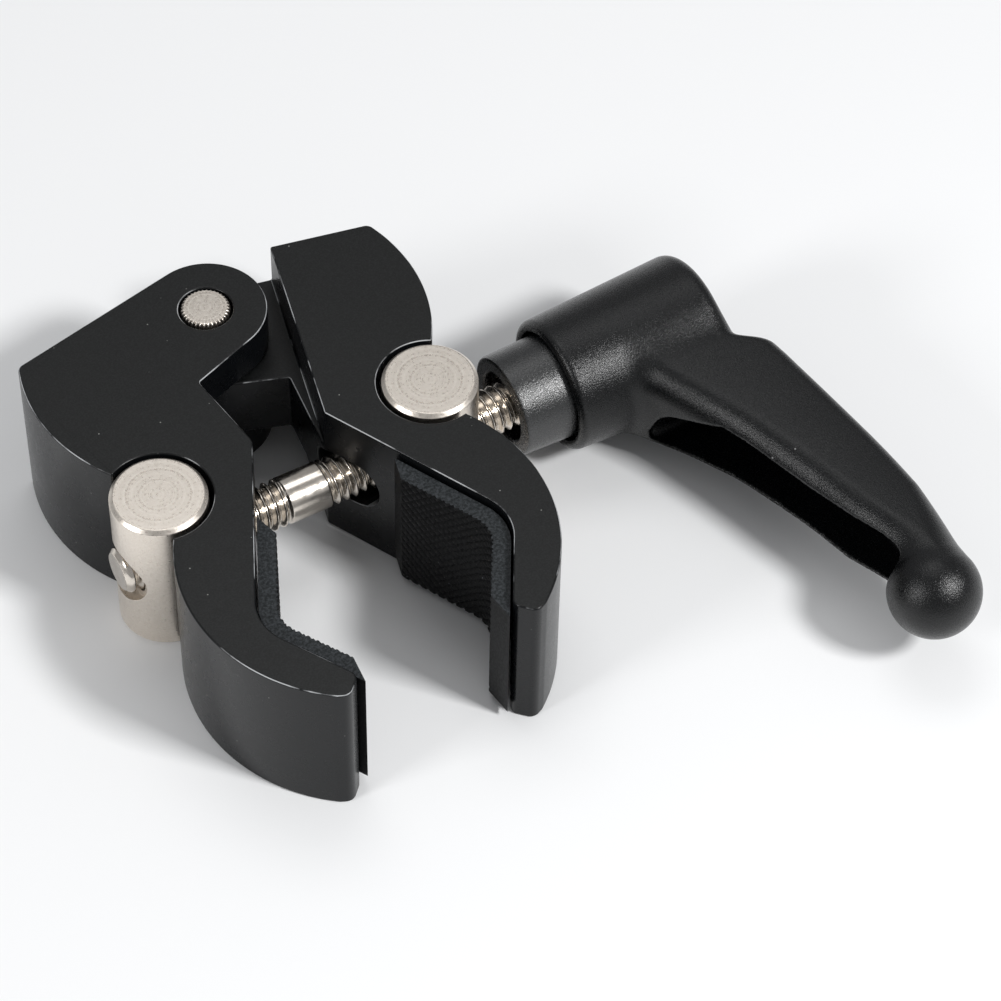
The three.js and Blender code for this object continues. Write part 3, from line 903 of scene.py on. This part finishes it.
def lever(name):
    """The moulded lever: hub, channelled arm and ball, with its spline, shoulder and screw chamber."""
    low = (HUB_X[0] - LEVER_MARGIN, BALL[1] - BALL[2] - LEVER_MARGIN, -HUB_R[1] - LEVER_MARGIN)
    high = (LEVER_FAR_X, HUB_R[1] + LEVER_MARGIN, HUB_R[1] + LEVER_MARGIN)
    points, faces = surface_of(lever_field, low, high, LEVER_STEP)
    points = drawn_to(lever_field, points, LEVER_STEP)
    points[:, 2] += MID_Z
    piece = mesh_object(name, points, faces)
    piece.data.polygons.foreach_set("use_smooth", [True] * len(piece.data.polygons))
    return piece


# ---------------------------------------------------------------- materials


class Shader:
    """A Principled material and short ways to add nodes to it."""

    def __init__(self, name, colour, roughness, metallic=0.0):
        self.material = bpy.data.materials.new(name)
        self.material.use_nodes = True
        self.material.diffuse_color = (*colour, 1)
        self.tree = self.material.node_tree
        self.base = self.tree.nodes["Principled BSDF"]
        self.base.inputs["Base Color"].default_value = (*colour, 1)
        self.base.inputs["Roughness"].default_value = roughness
        self.base.inputs["Metallic"].default_value = metallic
        self.place = self.add("ShaderNodeTexCoord").outputs["Object"]

    def add(self, kind, **settings):
        """A new node."""
        node = self.tree.nodes.new(kind)
        for key, value in settings.items():
            setattr(node, key, value)
        return node

    def link(self, output, target):
        """Joins an output to an input."""
        self.tree.links.new(output, target)

    def noise(self, per_mm, detail, place=None, rough=0.55):
        """Noise with about so many features in a millimetre, from 0 to 1."""
        node = self.add("ShaderNodeTexNoise")
        node.inputs["Scale"].default_value = per_mm / MM
        node.inputs["Detail"].default_value = detail
        node.inputs["Roughness"].default_value = rough
        self.link(place or self.place, node.inputs["Vector"])
        return node.outputs["Fac"]

    def span(self, value, low, high, to_low, to_high):
        """The value mapped from low..high to to_low..to_high, held at the ends."""
        node = self.add("ShaderNodeMapRange")
        node.inputs["From Min"].default_value = low
        node.inputs["From Max"].default_value = high
        node.inputs["To Min"].default_value = to_low
        node.inputs["To Max"].default_value = to_high
        self.link(value, node.inputs["Value"])
        return node.outputs["Result"]

    def mix(self, share, first, second):
        """A blend of two colours or sockets, the second where the share is 1."""
        node = self.add("ShaderNodeMix", data_type="RGBA")
        # the node also has sockets for numbers and vectors; these are the ones for colours
        colour_a, colour_b, blended = node.inputs[6], node.inputs[7], node.outputs[2]
        for socket, value in ((colour_a, first), (colour_b, second)):
            if isinstance(value, tuple):
                socket.default_value = (*value, 1)
            else:
                self.link(value, socket)
        self.link(share, node.inputs["Factor"])
        return blended

    def facing(self):
        """The sideways and upward parts of the surface's direction."""
        parts = self.add("ShaderNodeSeparateXYZ")
        self.link(self.add("ShaderNodeNewGeometry").outputs["True Normal"], parts.inputs["Vector"])
        return parts.outputs

    def combine(self, operation, *values):
        """A calculation on numbers or sockets."""
        node = self.add("ShaderNodeMath", operation=operation)
        for socket, value in zip(node.inputs, values):
            if isinstance(value, (int, float)):
                socket.default_value = value
            else:
                self.link(value, socket)
        return node.outputs[0]

    def bump(self, height, depth_mm, strength):
        """A normal that makes the height look raised."""
        node = self.add("ShaderNodeBump")
        node.inputs["Strength"].default_value = strength
        node.inputs["Distance"].default_value = depth_mm * MM
        self.link(height, node.inputs["Height"])
        return node.outputs["Normal"]

    def set(self, socket, value):
        """Gives one of the material's inputs a constant or a socket."""
        target = self.base.inputs[socket]
        if isinstance(value, (int, float, tuple)):
            target.default_value = value
        else:
            self.link(value, target)


# Colours, as linear red, green and blue. Where there are two, a noise blends from the first to the second.
JAW_WALL = ((0.0024, 0.0028, 0.0034), (0.0048, 0.0054, 0.0064))
JAW_FACE = ((0.0016, 0.0019, 0.0019), (0.0080, 0.0088, 0.0090))
# light grey for the upper edge roundings: partly wear, partly painted highlight
JAW_WEAR_AND_HIGHLIGHT = (0.40, 0.41, 0.42)
JAW_DUST = (0.25, 0.25, 0.24)
RUBBER_FACE_TONES = ((0.0014, 0.0015, 0.0018), (0.0030, 0.0033, 0.0038))
# paler tones for the upper and lower faces: partly dust, partly painted sheen of the light from above
RUBBER_DUST_AND_SHEEN = ((0.008, 0.010, 0.011), (0.036, 0.040, 0.044))
RUBBER_DUST = (0.22, 0.23, 0.25)
NICKEL_TONES = ((0.74, 0.665, 0.58), (0.90, 0.84, 0.765))
STUD_TONES = ((0.64, 0.575, 0.50), (0.86, 0.81, 0.74))
COLLAR_BLACK = (0.0026, 0.0030, 0.0034)
LEVER_BLACK = (0.0012, 0.0014, 0.0016)
GRAIN_DUST = (0.3, 0.3, 0.3)
ZINC_TONES = ((0.52, 0.53, 0.54), (0.68, 0.69, 0.70))
FLOOR_WHITE = (0.86, 0.865, 0.87)

GRAIN_MM = 0.19         # width of the grain on the collar and the lever
GRAIN_DEPTH_MM = 0.065


def dust(shader, spacing_mm, size):
    """Sparse specks, 1 on a speck and 0 elsewhere."""
    cells = shader.add("ShaderNodeTexVoronoi", feature="F1")
    cells.inputs["Scale"].default_value = 1 / (spacing_mm * MM)
    shader.link(shader.place, cells.inputs["Vector"])
    near = shader.span(cells.outputs["Distance"], size, size * 0.55, 0, 1)
    some = shader.span(shader.noise(1 / (spacing_mm * 2.3), 0), 0.50, 0.52, 0, 1)
    return shader.combine("MULTIPLY", near, some)


def jaw_finish():
    """Black anodising, matt on the flat faces and smoother round the walls, with a light grey painted in
    patches on the
    roundings along the upper edges: partly wear, partly painted highlight."""
    shader = Shader("jaw_finish", (0.010, 0.0105, 0.011), 0.36)
    upward = shader.facing()["Z"]
    flat = shader.span(shader.combine("ABSOLUTE", upward), 0.6, 0.95, 0, 1)
    wall = shader.mix(shader.noise(0.12, 4), *JAW_WALL)
    fine = shader.noise(4.5, 3)
    face = shader.mix(shader.span(fine, 0.4, 0.68, 0, 1), *JAW_FACE)
    rising = shader.span(upward, 0.4, 0.5, 0, 1)
    rounding = shader.combine("MULTIPLY", rising, shader.span(upward, 0.85, 0.92, 1, 0))
    patches = shader.span(shader.noise(0.11, 5), 0.47, 0.56, 0, 1)
    # patches of light grey on the upper edge roundings: partly wear, partly painted highlight
    wear_and_highlight = shader.combine("MULTIPLY", rounding, patches)
    tone = shader.mix(wear_and_highlight, shader.mix(flat, wall, face), JAW_WEAR_AND_HIGHLIGHT)
    specks = dust(shader, 2.0, 0.055)
    shader.set("Base Color", shader.mix(specks, tone, JAW_DUST))
    cloudy = shader.span(shader.noise(0.5, 4), 0.3, 0.7, 0.26, 0.30)
    shader.set("Roughness", shader.combine("MULTIPLY_ADD", flat, 0.12, cloudy))
    shader.set("Normal", shader.bump(fine, 0.010, 0.7))
    shader.set("Specular IOR Level", shader.span(flat, 0, 1, 0.26, 0.34))
    return shader.material


def grip_rubber():
    """Black rubber, paler on its upper and lower faces than on the gripping face, with flecks: partly dust,
    partly painted sheen of the light from above.
    """
    shader = Shader("grip_rubber", (0.010, 0.011, 0.013), 0.6)
    upward = shader.facing()["Z"]
    # the upper and lower faces, which are painted paler as a sheen of the light from above, partly dust
    edge = shader.span(shader.combine("ABSOLUTE", upward), 0.9, 0.99, 0, 1)
    flecks = shader.span(shader.noise(2.6, 4, rough=0.7), 0.42, 0.62, 0, 1)
    dust_and_sheen = shader.mix(flecks, *RUBBER_DUST_AND_SHEEN)
    face_tone = shader.mix(shader.noise(0.35, 4), *RUBBER_FACE_TONES)
    specks = dust(shader, 1.7, 0.05)
    shader.set("Base Color", shader.mix(specks, shader.mix(edge, face_tone, dust_and_sheen), RUBBER_DUST))
    grain = shader.noise(3.2, 5)
    shader.set("Roughness", shader.span(grain, 0.3, 0.7, 0.45, 0.65))
    shader.set("Normal", shader.bump(grain, 0.03, 0.6))
    shader.set("Specular IOR Level", 0.25)
    return shader.material


def turned_nickel():
    """Satin nickel with the rings that a lathe leaves on the end faces."""
    shader = Shader("turned_nickel", (0.82, 0.75, 0.67), 0.28, 1)
    parts = shader.add("ShaderNodeSeparateXYZ")
    shader.link(shader.place, parts.inputs["Vector"])
    square = shader.combine("MULTIPLY", parts.outputs["X"], parts.outputs["X"])
    both = shader.combine("MULTIPLY_ADD", parts.outputs["Y"], parts.outputs["Y"], square)
    reach = shader.combine("SQRT", both)
    ring_place = shader.add("ShaderNodeCombineXYZ")
    shader.link(reach, ring_place.inputs["X"])
    rings = shader.noise(2.6, 3, ring_place.outputs["Vector"], 0.7)
    grain = shader.noise(3.0, 3)
    tone = shader.combine("MULTIPLY_ADD", grain, 0.35, shader.combine("MULTIPLY", rings, 0.65))
    shader.set("Base Color", shader.mix(shader.span(tone, 0.35, 0.65, 0, 1), *NICKEL_TONES))
    shader.set("Roughness", shader.span(tone, 0.38, 0.62, 0.24, 0.38))
    shader.set("Normal", shader.bump(rings, 0.006, 0.9))
    return shader.material


def stud_steel():
    """Bright plated steel, a little blotched."""
    shader = Shader("stud_steel", (0.78, 0.72, 0.64), 0.2, 1)
    blotch = shader.noise(0.5, 4)
    shader.set("Base Color", shader.mix(blotch, *STUD_TONES))
    shader.set("Roughness", shader.span(shader.noise(1.4, 3), 0.3, 0.7, 0.14, 0.27))
    return shader.material


def black_grain(name, colour, roughness, gloss):
    """Black with a fine moulded or blasted grain, whose high spots are painted three times brighter as
    painted glints of reflected light.
    """
    shader = Shader(name, colour, roughness)
    grain = shader.noise(1 / GRAIN_MM, 3, rough=0.6)
    specks = dust(shader, 4.2, 0.04)
    # painted glints: the grain's high spots are painted three times brighter than the black
    glint_tone = tuple(c * 3 for c in colour)
    tone = shader.mix(shader.span(grain, 0.42, 0.66, 0, 1), colour, glint_tone)
    shader.set("Base Color", shader.mix(specks, tone, GRAIN_DUST))
    shader.set("Roughness", shader.span(grain, 0.3, 0.7, roughness - 0.07, roughness + 0.08))
    shader.set("Normal", shader.bump(grain, GRAIN_DEPTH_MM, 0.9))
    shader.set("Specular IOR Level", gloss)
    return shader.material


def zinc_steel():
    """Zinc-plated steel, for the small pieces inside the lever."""
    shader = Shader("zinc_steel", (0.60, 0.61, 0.62), 0.3, 1)
    shader.set("Roughness", shader.span(shader.noise(1.2, 3), 0.3, 0.7, 0.22, 0.42))
    shader.set("Base Color", shader.mix(shader.noise(0.4, 3), *ZINC_TONES))
    return shader.material


# ---------------------------------------------------------------- assembly

JAW = jaw_finish()
RUBBER = grip_rubber()
NICKEL = turned_nickel()
STUD = stud_steel()
COLLAR = black_grain("collar_black", COLLAR_BLACK, 0.27, 1.0)
PLASTIC = black_grain("lever_black", LEVER_BLACK, 0.25, 0.42)
ZINC = zinc_steel()

ON_STUD = (0, 0, MID_Z)     # a place on the stud's axis

settled(jaw(-1, "left_jaw_casting"), JAW, "left_jaw_body", "left_jaw")
settled(jaw(1, "right_jaw_casting"), JAW, "right_jaw_body", "right_jaw")
settled(grip_pad(-1, "left_grip_strip"), RUBBER, "left_jaw_body", "left_jaw_pad")
settled(grip_pad(1, "right_grip_strip"), RUBBER, "right_jaw_body", "right_jaw_pad")
pin = hinge_pin("knurled_hinge_pin")
settled(pin, NICKEL, "left_jaw_body", "hinge_pin", (0, HINGE_Y, 0))
left_barrel = barrel(-1, "left_turned_barrel")
settled(left_barrel, NICKEL, "left_barrel_body", "left_barrel", (-SPAN, 0, 0))
right_barrel = barrel(1, "right_turned_barrel")
settled(right_barrel, NICKEL, "right_barrel_body", "right_barrel", (SPAN, 0, 0))
settled(clamp_stud("threaded_stud"), STUD, "screw", "clamp_stud", ON_STUD)
settled(hub_insert("collar_insert"), COLLAR, "screw", "hub_insert", ON_STUD)
settled(retaining_screw("cap_screw"), ZINC, "screw", "retaining_screw", ON_STUD)
settled(spring_washer("flat_washer"), ZINC, "index_washer", "spring_washer", ON_STUD)
coil = release_spring("coil_spring")
settled(coil, ZINC, "stud_carrier", "release_spring", ON_STUD)
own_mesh(coil)
settled(lever("moulded_lever"), PLASTIC, "lever_body", "lever", ON_STUD)

# ---------------------------------------------------------------- camera, floor and lights

SENSOR_WIDTH = 36
FOCAL_LENGTH = 135.85
LENS_SHIFT = (0.0673, -0.0109)
EYE = (-133.06, -273.32, 387.97)
EYE_TILT = 38.925       # degrees up from straight down
EYE_TURN = -29.212      # degrees from looking along y
FLOOR_REACH = 3         # metres from the middle to a side
LIGHTS_AIM = (20, -10, 10)


def camera():
    """The camera, with its lens shifted off the middle."""
    data = bpy.data.cameras.new("camera")
    data.sensor_width = SENSOR_WIDTH
    data.lens = FOCAL_LENGTH
    data.shift_x, data.shift_y = LENS_SHIFT
    eye = bpy.data.objects.new("camera", data)
    eye.location = at(*EYE)
    eye.rotation_euler = (math.radians(EYE_TILT), 0, math.radians(EYE_TURN))
    bpy.context.scene.collection.objects.link(eye)
    bpy.context.scene.camera = eye


def floor():
    """The white floor, which is scenery."""
    reach = FLOOR_REACH
    corners = [(-reach, -reach, 0), (reach, -reach, 0), (reach, reach, 0), (-reach, reach, 0)]
    piece = mesh_object("floor", corners, [(0, 1, 2, 3)])
    piece.data.materials.append(Shader("floor_white", FLOOR_WHITE, 0.55).material)


def softbox(name, place, size, power):
    """A rectangular light turned towards the clamp. The size is in metres and the power in watts."""
    data = bpy.data.lights.new(name, "AREA")
    data.shape = "RECTANGLE"
    data.size, data.size_y = size
    data.energy = power
    lamp = bpy.data.objects.new(name, data)
    lamp.location = at(*place)
    aim = at(*LIGHTS_AIM) - lamp.location
    lamp.rotation_euler = aim.to_track_quat("-Z", "Y").to_euler()
    bpy.context.scene.collection.objects.link(lamp)


def world(colour, strength):
    """Even light from all sides."""
    sky = bpy.data.worlds.new("studio")
    sky.use_nodes = True
    back = sky.node_tree.nodes["Background"]
    back.inputs["Color"].default_value = (*colour, 1)
    back.inputs["Strength"].default_value = strength
    bpy.context.scene.world = sky


camera()
floor()
world((0.97, 0.98, 1.0), 0.34)
softbox("front", (330, -495, 605), (0.14, 0.12), 5.3)
softbox("left", (-760, -60, 440), (0.24, 0.2), 2.4)
softbox("overhead", (100, 240, 680), (0.4, 0.3), 0.7)
bpy.context.scene.view_settings.view_transform = "Standard"
